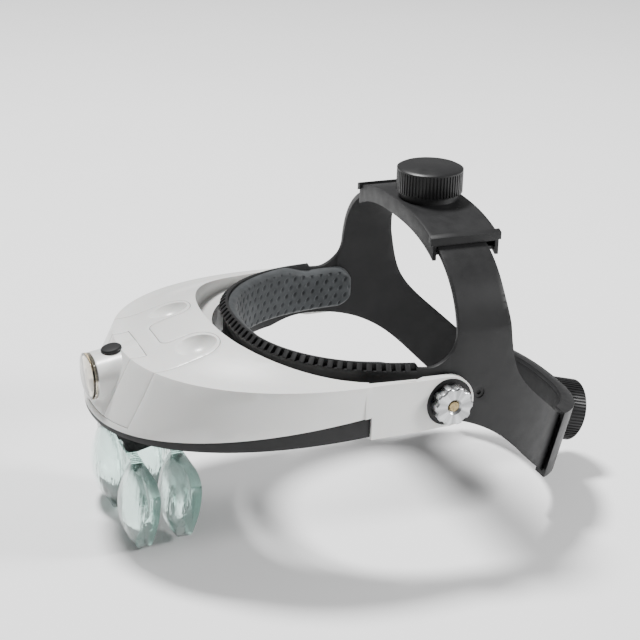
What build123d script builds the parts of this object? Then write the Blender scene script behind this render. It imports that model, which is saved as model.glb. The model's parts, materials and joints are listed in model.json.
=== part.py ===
"""Head visor magnifier: adjustable headgear with a tilting visor, a lamp module and two lens plates.

Millimetres. +Z is up, the wearer faces -Y and the wearer's left is +X. The origin is the middle of
the head opening, midway between the temples, at the height of the visor's tilt axis.
"""

import os
from math import atan, cos, pi, radians, sin, sqrt

from build123d import *

os.makedirs("parts", exist_ok=True)

# ---------------------------------------------------------------- driving dimensions
# Head ring: outer faces of the moulded band
RING_X = 78.0
RING_FRONT = 93.0
RING_REAR = 99.0
RING_POWER = 2.4
BAND_WALL = 2.5
REAR_TILT = 15.0
SPLIT_Y = -6.0

# Side outline of the band
BAND_BOTTOM = -13.0
STRAP_FRONT_Y = -2.5
STRAP_REAR_Y = 24.5

# Toothed flange along the top of the forehead band
LIP_TOP = 22.0
LIP_SLOPE = 0.037
LIP_WALL = 1.3
TOOTH_DEPTH = 3.2
TOOTH_WIDTH = 2.6
TOOTH_PITCH = 4.7
TEETH_END_Y = -24.0
LEDGE_DROP = 3.4
FLANGE_OUT = 1.4
FLANGE_WALL = 1.6

# Forehead pad
PAD_THICKNESS = 5.5
PAD_END_Y = 2.5
PAD_BOTTOM = -8.0
PAD_TOP = 20.0
PAD_END_TOP = 15.8
PAD_CORNER = 10.0

# Temple pivot
PIVOT_Y = -8.4
BOLT_RADIUS = 2.45
BOLT_HEAD_RADIUS = 4.6
FIT = 0.05
WASHER_RADIUS = 12.2
ARM_END_RADIUS = 13.4
ARM_INNER_X = 79.6
ARM_OUTER_X = 83.4
ARM_RECESS_X = 81.4
NUT_INNER_X = 83.3
NUT_OUTER_X = 90.4
NUT_RADIUS = 10.2
NUT_SCALLOPS = 10

TEMPLE_SCREW_Y = 10.8

# Overlapping strap ends with racks: the left end is the outer layer, the right end the inner one
LAYER = 1.1
LAYER_GAP = 0.3
OVERLAP = 30.0
RACK_PITCH = 3.14
RACK_HALF_LENGTH = 22.0
RACK_HALF_WIDTH = 5.9
PINION_TIP = 5.7

# Crown
CROWN_TOP = 76.5
ARCH_Z = 20.0
ARCH_POWER = 2.45
ARCH_CLEAR = 0.8
HOUSING_HALF = 48.5
HOUSING_FRONT_Y = -5.0
HOUSING_REAR_Y = 31.5
CROWN_KNOB_Y = 14.0
CROWN_KNOB_RADIUS = 17.4
CROWN_KNOB_BOTTOM = 82.6
CROWN_KNOB_TOP = 95.6
KNOB_RIBS = 60
KNOB_CHAMFER = 0.9
HUB_RADIUS = 5.0
SPINDLE_RADIUS = 3.0
SCREW_RADIUS = 1.5
SCREW_LENGTH = 8.0
HOUSING_GAP = 0.3
COVER_WALL = 2.4
SIDE_WALL = 2.0
BASE_WALL = 1.6

# Rear housing, in the frame tilted by REAR_TILT
REAR_STRAP_TOP = -11.0
REAR_STRAP_BOTTOM = -42.0
REAR_KNOB_Z = (REAR_STRAP_TOP + REAR_STRAP_BOTTOM) / 2
REAR_SLOT_Y = 75.0
REAR_BOSS_Y = 105.0
REAR_KNOB_RADIUS = 17.4
REAR_KNOB_DEPTH = 15.0

# Visor
VISOR_CENTRE_Y = -52.0
VISOR_POWER = 2.2
CREASE_X = 86.0
CREASE_FRONT = 102.0
CREASE_Z = 14.5
RIM_X = 85.0
RIM_FRONT = 118.0
RIM_FRONT_Z = -17.6
RIM_SLOPE = 0.13
SHELL_WALL = 2.2
TOP_STEPS = 10
TOP_FLAT = 0.05
TOP_END = 0.77
TOP_RISE = 10.0
OPENING = (86.0, 104.0, 2.5, -3.2)
SKIRT_OPENING = (81.0, 98.5, 2.4, -0.5)
SKIRT_WALL = 2.0
LEDGE_Z = 11.0
SKIRT_BOTTOM = -20.0
ARM_ROOT_Y = -51.0
ARM_WALL = 2.6
END_WALL = 3.0
TRIM_SLOPE = 0.062
TRIM_BOTTOM_Z = -13.3
TRIM_BOTTOM_Y = -62.0
FLOOR_WALL = 2.0
TRAY_PAD = 3.6
HEAD_DEPTH = 1.8
BOSS_RADIUS = 3.5
TRAY_SCREWS = ((60, -95), (-60, -95), (45, -135), (-45, -135))
BRACKET_SCREWS = ((11, -146), (-11, -146))

# Lamp module
MODULE_HALF = 36.5
MODULE_CORNER_Y = -143.0
EAR_REAR_Y = -109.5
TONGUE_HALF = 13.5
TONGUE_FRONT_Y = -135.5
LAMP_BASE_HALF = 16.5
LAMP_BASE_REAR_Y = -144.6
MODULE_LIP = 2.7
SEAM = 0.4
SCOOP_X = 25.0
SCOOP_Y = -122.6
SCOOP_Z = 25.4
SCOOP_RADIUS = 9.6
SCOOP_HALF_LENGTH = 12.2
SCOOP_WALL = 1.5
LAMP_FACE_Y = -171.0
LAMP_SHELL_Y = -168.0
FLANGE_THICKNESS = 0.6
LAMP_Z = 0.5
LAMP_HALF_X = 14.3
LAMP_HALF_Z = 11.0
LAMP_POWER = 2.3
LAMP_FLARE = 1.7
LAMP_WALL = 1.8
LED_X = 6.3
LED_RADIUS = 2.5
REFLECTOR_REAR_Y = -163.9
BOARD_FRONT_Y = -160.5
BOARD_REAR_Y = -148.5
BOARD_Z = 1.2
BOARD_WALL = 1.6
SWITCH_Y = -157.2
SWITCH_TOP = 7.9
BUTTON_Y = -158.0
BUTTON_Z = 13.4
BUTTON_RADIUS = 5.4
BUTTON_TILT = 12.0
BUTTON_PROUD = 1.7
BATTERY_RADIUS = 5.25
BATTERY_LENGTH = 44.5
CONTACT_ROOM = 0.65
BATTERY_PLACES = ((-140.5, 0.0), (-128.5, 3.6), (-116.5, 7.2))

# Lens bracket and plates; pins are given as (y, z)
CHEEK_INNER = 6.0
CHEEK_OUTER = 8.0
BRACKET_HALF = 14.0
PIN_RADIUS = 1.5
FRONT_PIN = (-150.3, -37.5)
REAR_PIN = (-129.0, -34.9)
PLATE_DROP = 4.3
LENS_EDGE = 5.6
LENS_BULGE = 9.0
LENS_RADIUS = 23.0
LENS_X = 27.0
LENS_Z = 21.0
CLIP_HALF = 5.8
CLIP_RADIUS = 3.2


# ---------------------------------------------------------------- shared shapes
def oval_points(half_x, half_y, power, centre_y, count=48):
    """Points round a superellipse, which is an oval with fuller corners."""
    points = []
    for i in range(count):
        turn = 2 * pi * (i + 0.5) / count
        c, s = cos(turn), sin(turn)
        x = half_x * abs(c) ** (2 / power) * (1 if c > 0 else -1)
        y = half_y * abs(s) ** (2 / power) * (1 if s > 0 else -1)
        points.append((x, centre_y + y))
    return points


def oval(half_x, half_y, power=RING_POWER, centre_y=0.0, plane=Plane.XY):
    """An oval face on a plane."""
    with BuildSketch(plane) as sketch:
        with BuildLine():
            Spline(*oval_points(half_x, half_y, power, centre_y), periodic=True)
        make_face()
    return sketch.sketch


def save(builder, name):
    builder.part.label = name
    export_step(builder.part, f"parts/{name}.step")


def oval_prism(half_x, half_y, power, centre_y, low, high, plane=Plane.XY):
    """A straight oval block between two heights of a plane."""
    with BuildPart() as prism:
        extrude(to_extrude=oval(half_x, half_y, power, centre_y, plane.offset(low)), amount=high - low)
    return prism.part


def side_prism(points, half_width=120.0):
    """A block with the given (y, z) outline, running across the whole width."""
    with BuildPart() as prism:
        with BuildSketch(Plane.YZ.offset(-half_width)):
            with BuildLine():
                Polyline(*points, close=True)
            make_face()
        extrude(amount=2 * half_width)
    return prism.part


REAR_PLANE = Plane(
    origin=(0, 0, 0),
    x_dir=(1, 0, 0),
    z_dir=(0, sin(radians(REAR_TILT)), cos(radians(REAR_TILT))),
)


def arch_prism(inset, front_y=-60.0, rear_y=120.0):
    """The block under the crown strap's curve, seen from the front, between two Y positions."""
    half_x = RING_X + ARCH_CLEAR - inset
    plane = Plane.XZ.offset(-rear_y)
    with BuildPart() as prism:
        with BuildSketch(plane):
            add(oval(half_x, CROWN_TOP - ARCH_Z - inset, ARCH_POWER, ARCH_Z))
            with Locations((0, ARCH_Z - 60)):
                Rectangle(2 * half_x, 120)
        extrude(amount=rear_y - front_y)
    return prism.part


def block(low, high):
    """A plain block between two corners."""
    with BuildPart() as shape:
        with Locations(tuple((a + b) / 2 for a, b in zip(low, high))):
            Box(*[b - a for a, b in zip(low, high)])
    return shape.part


def rod(radius, plane, length):
    """A round bar that starts on a plane and runs along its normal."""
    with BuildPart() as shape:
        with BuildSketch(plane):
            Circle(radius)
        extrude(amount=length)
    return shape.part


def ring_height(y):
    """Height of the lip along the top of the forehead band, which falls towards the temples."""
    return LIP_TOP - LIP_SLOPE * (y + RING_FRONT)


# ---------------------------------------------------------------- headband
def band_outline():
    """Side view of the band: forehead, temple plate, crown strap and sloping rear strap."""
    with BuildPart() as prism:
        with BuildSketch(Plane.YZ.offset(-120)):
            with BuildLine():
                Polyline((-24.0, ring_height(-24.0)), (-110.0, ring_height(-110.0)),
                         (-110.0, BAND_BOTTOM), (-48.0, BAND_BOTTOM))
                Spline((-48.0, BAND_BOTTOM), (-38.0, -10.8), (-18.6, -10.4), (-4.0, -12.8), (8.0, -16.6),
                       (15.1, -20.0), (26.5, -27.6), (42.7, -43.0), (60.3, -59.6), tangents=[(1, 0.2), (1, -0.9)])
                Polyline((60.3, -59.6), (95.4, -69.0), (103.4, -39.1), (70.6, -30.3))
                Spline((70.6, -30.3), (53.2, -14.1), (40.5, -2.0), (33.2, 8.0), (28.6, 23.0),
                       (26.0, 40.0), (STRAP_REAR_Y, 56.0), tangents=[(-1, 0.93), (0, 1)])
                Polyline((STRAP_REAR_Y, 56.0), (STRAP_REAR_Y, 90.0), (STRAP_FRONT_Y, 90.0), (STRAP_FRONT_Y, 36.0))
                Spline((STRAP_FRONT_Y, 36.0), (-6.3, 22.2), (-15.0, 16.9), (-22.5, 17.0), tangents=[(0, -1), (-1, 0.1)])
                Polyline((-22.5, 17.0), (-24.0, ring_height(-24.0)))
            make_face()
        extrude(amount=240)
    return prism.part


def rear_form(inset):
    """Everything inside the rear band and crown strap, less an inset."""
    return oval_prism(RING_X - inset, RING_REAR - inset, RING_POWER, 0, -80, 110, REAR_PLANE) & arch_prism(inset)


def front_form(inset):
    """Everything inside the forehead band, less an inset."""
    return oval_prism(RING_X - inset, RING_FRONT - inset, RING_POWER, 0, -30, 35)


def ring_point(turn, inset=0.0):
    """A point on the forehead band and its outward direction, for an angle from the front."""
    c, s = sin(turn), -cos(turn)
    x = (RING_X - inset) * abs(c) ** (2 / RING_POWER) * (1 if c > 0 else -1)
    y = (RING_FRONT - inset) * abs(s) ** (2 / RING_POWER) * (1 if s > 0 else -1)
    nx = abs(x / RING_X) ** (RING_POWER - 1) / RING_X * (1 if x > 0 else -1)
    ny = abs(y / RING_FRONT) ** (RING_POWER - 1) / RING_FRONT * (1 if y > 0 else -1)
    size = sqrt(nx * nx + ny * ny)
    return Vector(x, y, 0), Vector(nx / size, ny / size, 0)


def tooth_places():
    """Evenly spaced places for the teeth, from one temple round the forehead to the other."""
    places, last, turn = [], None, 0.0
    while True:
        point, normal = ring_point(turn, LIP_WALL)
        if point.Y > TEETH_END_Y:
            break
        if last is None or (point - last).length >= TOOTH_PITCH:
            places.append((point, normal))
            if turn > 0:
                places.append((Vector(-point.X, point.Y, 0), Vector(-normal.X, normal.Y, 0)))
            last = point
        turn += 0.0005
    return places


def tooth(point, normal):
    """One wedge-shaped tooth leaning on the lip."""
    top = ring_height(point.Y) - 0.2
    plane = Plane(origin=(point.X, point.Y, top), x_dir=(normal.X, normal.Y, 0),
                  z_dir=normal.cross(Vector(0, 0, 1)))
    with BuildPart() as wedge:
        with BuildSketch(plane.offset(-TOOTH_WIDTH / 2)):
            Polygon((-0.6, 0), (0.5, 0), (TOOTH_DEPTH, -2.6), (TOOTH_DEPTH, -3.6), (-0.6, -3.6), align=None)
        extrude(amount=TOOTH_WIDTH)
    return wedge.part


def strap_gap(form, span):
    """The thin gap between two overlapping strap ends: the left end runs outside, the right inside."""
    inner = LAYER + LAYER_GAP
    low, high = span
    layer = (form(LAYER) - form(inner)) & block((-OVERLAP, low[0], low[1]), (OVERLAP, high[0], high[1]))
    left_tip = (form(-1) - form(inner)) & block((-OVERLAP - 0.3, *low), (-OVERLAP, *high))
    right_tip = (form(LAYER) - form(BAND_WALL + 1)) & block((OVERLAP, *low), (OVERLAP + 0.3, *high))
    return layer + left_tip + right_tip


def rack_slot(plane, side):
    """A slot whose one long side carries rack teeth, as a cutting block on a plane."""
    teeth = int(2 * RACK_HALF_LENGTH / RACK_PITCH) - 1
    with BuildPart() as slot:
        with BuildSketch(plane):
            Rectangle(2 * RACK_HALF_LENGTH, 2 * RACK_HALF_WIDTH)
            with Locations((0, side * (RACK_HALF_WIDTH + 0.5))):
                with GridLocations(RACK_PITCH, 0, teeth, 1):
                    Rectangle(RACK_PITCH * 0.55, 1.4)
        extrude(amount=3, both=True)
    return slot.part


def under_ledge(low_drop, high_drop):
    """A block between two heights below the top of the forehead band, as far back as the teeth go."""
    front, rear = -115.0, TEETH_END_Y
    return side_prism([(front, ring_height(front) - low_drop), (rear, ring_height(rear) - low_drop),
                       (rear, ring_height(rear) - high_drop), (front, ring_height(front) - high_drop)])


with BuildPart() as forehead:
    add(front_form(0))
    add(front_form(BAND_WALL), mode=Mode.SUBTRACT)
    add(block((-120, -110, -40), (120, SPLIT_Y, 40)), mode=Mode.INTERSECT)
    add(band_outline(), mode=Mode.INTERSECT)

# What is cut off the outer part of the top edge, which leaves the lip standing
with BuildPart() as ledge_cut:
    add(front_form(-2))
    add(front_form(BAND_WALL - LIP_WALL), mode=Mode.SUBTRACT)
    add(under_ledge(LEDGE_DROP, -20), mode=Mode.INTERSECT)

with BuildPart() as flange:
    add(front_form(-FLANGE_OUT))
    add(front_form(1), mode=Mode.SUBTRACT)
    add(under_ledge(LEDGE_DROP + FLANGE_WALL, LEDGE_DROP), mode=Mode.INTERSECT)

with BuildPart() as headband:
    # Temple plates, crown strap and rear straps in one wall
    add(rear_form(0))
    add(rear_form(BAND_WALL), mode=Mode.SUBTRACT)
    add(block((-120, SPLIT_Y, -90), (120, 130, 110)), mode=Mode.INTERSECT)
    add(band_outline(), mode=Mode.INTERSECT)
    add(forehead.part)
    add(ledge_cut.part, mode=Mode.SUBTRACT)
    add(flange.part)
    add([tooth(*place) for place in tooth_places()])
    # Overlapping strap ends at the crown and at the back, with their rack slots
    add(strap_gap(rear_form, ((STRAP_FRONT_Y - 1, 60), (STRAP_REAR_Y + 1, 90))), mode=Mode.SUBTRACT)
    add(strap_gap(rear_form, ((80, -85), (115, -20))), mode=Mode.SUBTRACT)
    crown_slot = Plane(origin=(0, CROWN_KNOB_Y, CROWN_TOP))
    rear_slot = Plane(origin=REAR_PLANE.from_local_coords((0, RING_REAR, REAR_KNOB_Z)),
                      x_dir=(1, 0, 0), z_dir=REAR_PLANE.y_dir)
    add(rack_slot(crown_slot, -1), mode=Mode.SUBTRACT)
    add(rack_slot(rear_slot, 1), mode=Mode.SUBTRACT)
    # Holes for the pivot bolts and the small screws behind them, and a flat seat for each bolt head
    for side in (-1, 1):
        with Locations(Location((side * (RING_X - BAND_WALL), PIVOT_Y, 0), (0, -side * 90, 0))):
            Cylinder(BOLT_HEAD_RADIUS + 0.2, 4, mode=Mode.SUBTRACT, align=(Align.CENTER, Align.CENTER, Align.MIN))
        with Locations(Location((side * RING_X, PIVOT_Y, 0), (0, 90, 0))):
            Cylinder(BOLT_RADIUS + FIT, 12, mode=Mode.SUBTRACT)
        with Locations(Location((side * RING_X, TEMPLE_SCREW_Y, 0), (0, 90, 0))):
            Cylinder(1.3, 3.4, mode=Mode.SUBTRACT)
        with Locations(Location((side * (RING_X + 0.4), TEMPLE_SCREW_Y, 0), (0, 90, 0))):
            Cylinder(3.0, 2.4, mode=Mode.SUBTRACT)
save(headband, "headband")

# ---------------------------------------------------------------- adjuster pieces
def crown_shell(outer_inset, inner_inset, half_x, front_y, rear_y):
    """A curved plate that follows the crown strap."""
    plate = arch_prism(outer_inset, front_y, rear_y) - arch_prism(inner_inset, front_y - 1, rear_y + 1)
    return plate & block((-half_x, front_y, 40), (half_x, rear_y, 100))


def knob(radius, depth):
    """A ribbed knob with a chamfered top, standing on the XY plane and hollow underneath."""
    with BuildPart() as turned:
        Cylinder(radius, depth, align=(Align.CENTER, Align.CENTER, Align.MIN))
        chamfer(turned.edges().group_by(Axis.Z)[-1], KNOB_CHAMFER, 2 * KNOB_CHAMFER)
        with BuildSketch():
            with PolarLocations(radius + 0.2, KNOB_RIBS):
                Rectangle(1.4, 0.8)
        extrude(amount=depth - KNOB_CHAMFER - 0.6, mode=Mode.SUBTRACT)
        with BuildSketch():
            Circle(radius - 2.4)
            Circle(HUB_RADIUS, mode=Mode.SUBTRACT)
        extrude(amount=depth - 4, mode=Mode.SUBTRACT)
        with BuildSketch():
            Circle(SPINDLE_RADIUS + 0.02)
        extrude(amount=depth - 5, mode=Mode.SUBTRACT)
    return turned.part


def pinion(gear_low, gear_high, spindle_top):
    """A toothed pinion with a spindle, along +Z, bored from below for its screw."""
    with BuildPart() as gear:
        with BuildSketch(Plane.XY.offset(gear_low)):
            Circle(PINION_TIP - 1.5)
            with PolarLocations(PINION_TIP - 1.0, 12):
                Rectangle(2.0, 1.3)
        extrude(amount=gear_high - gear_low)
        with Locations((0, 0, gear_high)):
            Cylinder(SPINDLE_RADIUS, spindle_top - gear_high, align=(Align.CENTER, Align.CENTER, Align.MIN))
        with Locations((0, 0, gear_low)):
            Cylinder(SCREW_RADIUS + 0.02, SCREW_LENGTH, mode=Mode.SUBTRACT,
                     align=(Align.CENTER, Align.CENTER, Align.MIN))
    return gear.part


def pan_screw(length, radius=1.25, head_radius=2.5, head=1.6):
    """A pan-head screw that points up, with the underside of its head at Z = 0."""
    with BuildPart() as screw:
        Cylinder(radius, length, align=(Align.CENTER, Align.CENTER, Align.MIN))
        Cylinder(head_radius, head, align=(Align.CENTER, Align.CENTER, Align.MAX))
        fillet(screw.edges().sort_by(Axis.Z)[0], 0.6)
        with Locations((0, 0, -head)):
            Box(2.6, 0.6, 1.4, mode=Mode.SUBTRACT)
            Box(0.6, 2.6, 1.4, mode=Mode.SUBTRACT)
    return screw.part


# ---------------------------------------------------------------- forehead pad
with BuildPart() as pad_outline:
    with BuildSketch(Plane.YZ.offset(-120)) as pad_side:
        Polygon((-110, PAD_BOTTOM), (PAD_END_Y, PAD_BOTTOM), (PAD_END_Y, PAD_END_TOP), (-24, PAD_END_TOP),
                (-42, PAD_TOP), (-110, PAD_TOP), align=None)
        corners = pad_side.vertices().group_by(Axis.Y)[-1]
        fillet(corners, PAD_CORNER)
    extrude(amount=240)

with BuildPart() as forehead_pad:
    add(front_form(BAND_WALL + 0.1))
    add(front_form(BAND_WALL + PAD_THICKNESS), mode=Mode.SUBTRACT)
    add(pad_outline.part, mode=Mode.INTERSECT)
    # Pockets for the heads of the pivot bolts
    for side in (-1, 1):
        with Locations(Location((side * (RING_X - BAND_WALL - 2.2), PIVOT_Y, 0), (0, side * 90, 0))):
            Cylinder(BOLT_HEAD_RADIUS + 0.4, 8, mode=Mode.SUBTRACT, align=(Align.CENTER, Align.CENTER, Align.MIN))
save(forehead_pad, "forehead_pad")

# ---------------------------------------------------------------- crown adjuster
CROWN_AXIS = Plane(origin=(0, CROWN_KNOB_Y, 0))
REAR_AXIS = Plane(origin=REAR_PLANE.from_local_coords((0, 0, REAR_KNOB_Z)), x_dir=(1, 0, 0), z_dir=REAR_PLANE.y_dir)
PINION_BOTTOM = CROWN_TOP - BAND_WALL - 0.2
PINION_HEIGHT = BAND_WALL + 0.3

with BuildPart() as crown_housing:
    add(crown_shell(-HOUSING_GAP - COVER_WALL, -HOUSING_GAP, HOUSING_HALF, HOUSING_FRONT_Y, HOUSING_REAR_Y))
    # Side walls that hide the strap's edges
    for low_y in (HOUSING_FRONT_Y, HOUSING_REAR_Y - SIDE_WALL):
        add(crown_shell(-HOUSING_GAP - 0.5, BAND_WALL + 3.6, HOUSING_HALF, low_y, low_y + SIDE_WALL))
    # Raised lip across each end
    for side in (-1, 1):
        lip = arch_prism(-HOUSING_GAP - COVER_WALL - 1.5, HOUSING_FRONT_Y - 1.2, HOUSING_REAR_Y + 1.2)
        lip -= arch_prism(-HOUSING_GAP - 0.5)
        x_low, x_high = sorted((side * (HOUSING_HALF - 2.8), side * (HOUSING_HALF + 0.2)))
        add(lip & block((x_low, -20, 40), (x_high, 50, 100)))
    # Low round boss under the knob
    with Locations((0, CROWN_KNOB_Y, CROWN_TOP + 2)):
        Cylinder(15.2, CROWN_KNOB_BOTTOM - 0.4 - CROWN_TOP - 2, align=(Align.CENTER, Align.CENTER, Align.MIN))
    with Locations((0, CROWN_KNOB_Y, CROWN_TOP - 3)):
        Cylinder(PINION_TIP + 0.6, 3.4, mode=Mode.SUBTRACT, align=(Align.CENTER, Align.CENTER, Align.MIN))
        Cylinder(SPINDLE_RADIUS + FIT, 20, mode=Mode.SUBTRACT, align=(Align.CENTER, Align.CENTER, Align.MIN))
save(crown_housing, "crown_housing")

with BuildPart() as crown_base:
    add(crown_shell(BAND_WALL + HOUSING_GAP, BAND_WALL + HOUSING_GAP + BASE_WALL, HOUSING_HALF - 1,
                    HOUSING_FRONT_Y + SIDE_WALL, HOUSING_REAR_Y - SIDE_WALL))
    with Locations((0, CROWN_KNOB_Y, CROWN_TOP)):
        Cylinder(SCREW_RADIUS + FIT, 20, mode=Mode.SUBTRACT)
save(crown_base, "crown_base")

with BuildPart() as crown_knob:
    add(knob(CROWN_KNOB_RADIUS, CROWN_KNOB_TOP - CROWN_KNOB_BOTTOM).moved(
        CROWN_AXIS.offset(CROWN_KNOB_BOTTOM).location))
save(crown_knob, "crown_knob")

with BuildPart() as crown_pinion:
    add(pinion(PINION_BOTTOM, PINION_BOTTOM + PINION_HEIGHT, CROWN_KNOB_BOTTOM + 7).moved(CROWN_AXIS.location))
save(crown_pinion, "crown_pinion")

with BuildPart() as crown_knob_screw:
    under_base = CROWN_TOP - BAND_WALL - HOUSING_GAP - BASE_WALL - 0.2
    add(pan_screw(PINION_BOTTOM + SCREW_LENGTH - 0.5 - under_base, SCREW_RADIUS, 3.6).moved(
        CROWN_AXIS.offset(under_base).location))
save(crown_knob_screw, "crown_knob_screw")


# ---------------------------------------------------------------- rear adjuster
def rear_shell(outset_outer, outset_inner, low_z, high_z, from_y):
    """A curved plate round the back of the head, in the tilted frame."""
    outer = oval_prism(RING_X + outset_outer, RING_REAR + outset_outer, RING_POWER, 0, low_z, high_z, REAR_PLANE)
    inner = oval_prism(RING_X + outset_inner, RING_REAR + outset_inner, RING_POWER, 0, low_z - 1, high_z + 1,
                       REAR_PLANE)
    cut = Plane(origin=REAR_PLANE.from_local_coords((0, from_y, 0)), x_dir=(1, 0, 0), z_dir=REAR_PLANE.y_dir)
    with BuildPart() as keep:
        with BuildSketch(cut):
            Rectangle(240, 240)
        extrude(amount=60)
    return (outer - inner) & keep.part


REAR_LOW = REAR_STRAP_BOTTOM - 3.2
REAR_HIGH = REAR_STRAP_TOP + 3.2

with BuildPart() as rear_housing:
    add(rear_shell(HOUSING_GAP + COVER_WALL, HOUSING_GAP, REAR_LOW, REAR_HIGH, REAR_SLOT_Y))
    for low_z in (REAR_LOW, REAR_HIGH - 2.4):
        add(rear_shell(HOUSING_GAP + 0.5, -BAND_WALL - HOUSING_GAP - BASE_WALL, low_z, low_z + 2.4, REAR_SLOT_Y))
    # Round boss under the knob, and a collar round it
    add(rod(15.2, REAR_AXIS.offset(RING_REAR + 1), REAR_BOSS_Y - RING_REAR - 1))
    add(rod(PINION_TIP + 0.6, REAR_AXIS.offset(RING_REAR - 3), 3.4), mode=Mode.SUBTRACT)
    add(rod(SPINDLE_RADIUS + FIT, REAR_AXIS.offset(RING_REAR - 3), 20), mode=Mode.SUBTRACT)
save(rear_housing, "rear_housing")

with BuildPart() as rear_base:
    add(rear_shell(-BAND_WALL - HOUSING_GAP, -BAND_WALL - HOUSING_GAP - BASE_WALL, REAR_LOW + 2.4, REAR_HIGH - 2.4,
                   REAR_SLOT_Y))
    add(rod(SCREW_RADIUS + FIT, REAR_AXIS.offset(RING_REAR - 15), 30), mode=Mode.SUBTRACT)
save(rear_base, "rear_base")

with BuildPart() as rear_knob:
    add(knob(REAR_KNOB_RADIUS, REAR_KNOB_DEPTH).moved(REAR_AXIS.offset(REAR_BOSS_Y + 0.4).location))
save(rear_knob, "rear_knob")

REAR_PINION_LOW = RING_REAR - BAND_WALL - 0.2
with BuildPart() as rear_pinion:
    add(pinion(REAR_PINION_LOW, REAR_PINION_LOW + PINION_HEIGHT, REAR_BOSS_Y + 7.4).moved(REAR_AXIS.location))
save(rear_pinion, "rear_pinion")

with BuildPart() as rear_knob_screw:
    under_base = RING_REAR - BAND_WALL - HOUSING_GAP - BASE_WALL - 0.2
    add(pan_screw(REAR_PINION_LOW + SCREW_LENGTH - 0.5 - under_base, SCREW_RADIUS, 3.6).moved(
        REAR_AXIS.offset(under_base).location))
save(rear_knob_screw, "rear_knob_screw")

# ---------------------------------------------------------------- temple pivots
with BuildPart() as pivot_bolts:
    for side in (-1, 1):
        with Locations(Location((side * (RING_X - BAND_WALL), PIVOT_Y, 0), (0, side * 90, 0))):
            Cylinder(BOLT_RADIUS, NUT_OUTER_X - RING_X + BAND_WALL - 0.8, align=(Align.CENTER, Align.CENTER, Align.MIN))
            Cylinder(BOLT_HEAD_RADIUS, 1.8, align=(Align.CENTER, Align.CENTER, Align.MAX))
save(pivot_bolts, "pivot_bolts")


def washers(inner_x, outer_x, radius):
    """A washer on each temple pivot."""
    with BuildPart() as pair:
        for side in (-1, 1):
            with Locations(Location((side * inner_x, PIVOT_Y, 0), (0, side * 90, 0))):
                Cylinder(radius, outer_x - inner_x, align=(Align.CENTER, Align.CENTER, Align.MIN))
                Cylinder(BOLT_RADIUS + FIT, 20, mode=Mode.SUBTRACT)
    return pair


friction_washers = washers(RING_X + 0.1, ARM_INNER_X - 0.05, 10.0)
save(friction_washers, "friction_washers")
pivot_washers = washers(ARM_RECESS_X + 0.05, NUT_INNER_X - 0.1, WASHER_RADIUS)
save(pivot_washers, "pivot_washers")


def thumb_nut(side):
    """A scalloped nut with a hub, a chamfered middle and a threaded hole."""
    thickness = NUT_OUTER_X - NUT_INNER_X
    with BuildPart() as nut:
        Cylinder(7.0, 1.2, align=(Align.CENTER, Align.CENTER, Align.MIN))
        with Locations((0, 0, 1.0)):
            Cylinder(NUT_RADIUS, thickness - 1.0, align=(Align.CENTER, Align.CENTER, Align.MIN))
        with PolarLocations(NUT_RADIUS + 2.0, NUT_SCALLOPS):
            Cylinder(2.9, 30, mode=Mode.SUBTRACT)
        chamfer(nut.edges().group_by(Axis.Z)[-1], 0.7)
        Cylinder(BOLT_RADIUS + FIT, 30, mode=Mode.SUBTRACT)
        with Locations((0, 0, thickness)):
            Cone(2.4, 4.0, 1.6, mode=Mode.SUBTRACT, align=(Align.CENTER, Align.CENTER, Align.MAX))
    return nut.part.moved(Location((side * NUT_INNER_X, PIVOT_Y, 0), (0, side * 90, 0)))


for nut_side, nut_name in ((1, "thumb_nut_left"), (-1, "thumb_nut_right")):
    with BuildPart() as thumb:
        add(thumb_nut(nut_side))
    save(thumb, nut_name)

# ---------------------------------------------------------------- visor shell
RIM_TILT = atan(RIM_SLOPE)


def rim_height(y):
    """Height of the shell's lower edge."""
    return RIM_FRONT_Z + RIM_SLOPE * (y - VISOR_CENTRE_Y + RIM_FRONT)


RIM_PLANE = Plane(origin=(0, VISOR_CENTRE_Y, rim_height(VISOR_CENTRE_Y)), x_dir=(1, 0, 0),
                  z_dir=(0, -sin(RIM_TILT), cos(RIM_TILT)))


def visor_oval(inset, share, plane, half_x=CREASE_X, half_y=CREASE_FRONT):
    """An oval of the visor's outline, inset and then shrunk to a share of its size."""
    return oval((half_x - inset) * share, (half_y - inset) * share, VISOR_POWER, 0, plane)


def top_rise(step):
    """Rise of the visor's top above the crease, a smooth swell towards the middle."""
    t = max(0.0, (step - TOP_FLAT) / (TOP_END - TOP_FLAT))
    return TOP_RISE * t * t * (3 - 2 * t)


def visor_form(inset):
    """The visor's outer form, less an inset: flaring side wall, crease and rising top."""
    crease_plane = Plane(origin=(0, VISOR_CENTRE_Y, CREASE_Z - inset))
    rim = visor_oval(inset, 1, RIM_PLANE, RIM_X, RIM_FRONT / cos(RIM_TILT))
    steps = [TOP_END * i / TOP_STEPS for i in range(TOP_STEPS + 1)]
    with BuildPart() as side:
        loft([rim, visor_oval(inset, 1, crease_plane)], ruled=True)
        if inset:
            extrude(to_extrude=rim, amount=-6)
    with BuildPart() as top:
        loft([visor_oval(inset, (1 - step) ** (1 / VISOR_POWER), crease_plane.offset(top_rise(step) + 0.001 * step))
              for step in steps], ruled=True)
    front = block((-120, -200, -60), (120, ARM_ROOT_Y, 60))
    return (side.part & front) + (top.part & front)


def opening_form(opening, outset, low, high):
    """The oval space that the headband passes through."""
    half_x, half_y, power, centre_y = opening
    return oval_prism(half_x + outset, half_y + outset, power, centre_y, low, high)


def above_lip(rise):
    """Everything above the shell's lower edge by a rise."""
    return side_prism([(-200, rim_height(-200) + rise), (0, rim_height(0) + rise), (0, 60), (-200, 60)])


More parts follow.
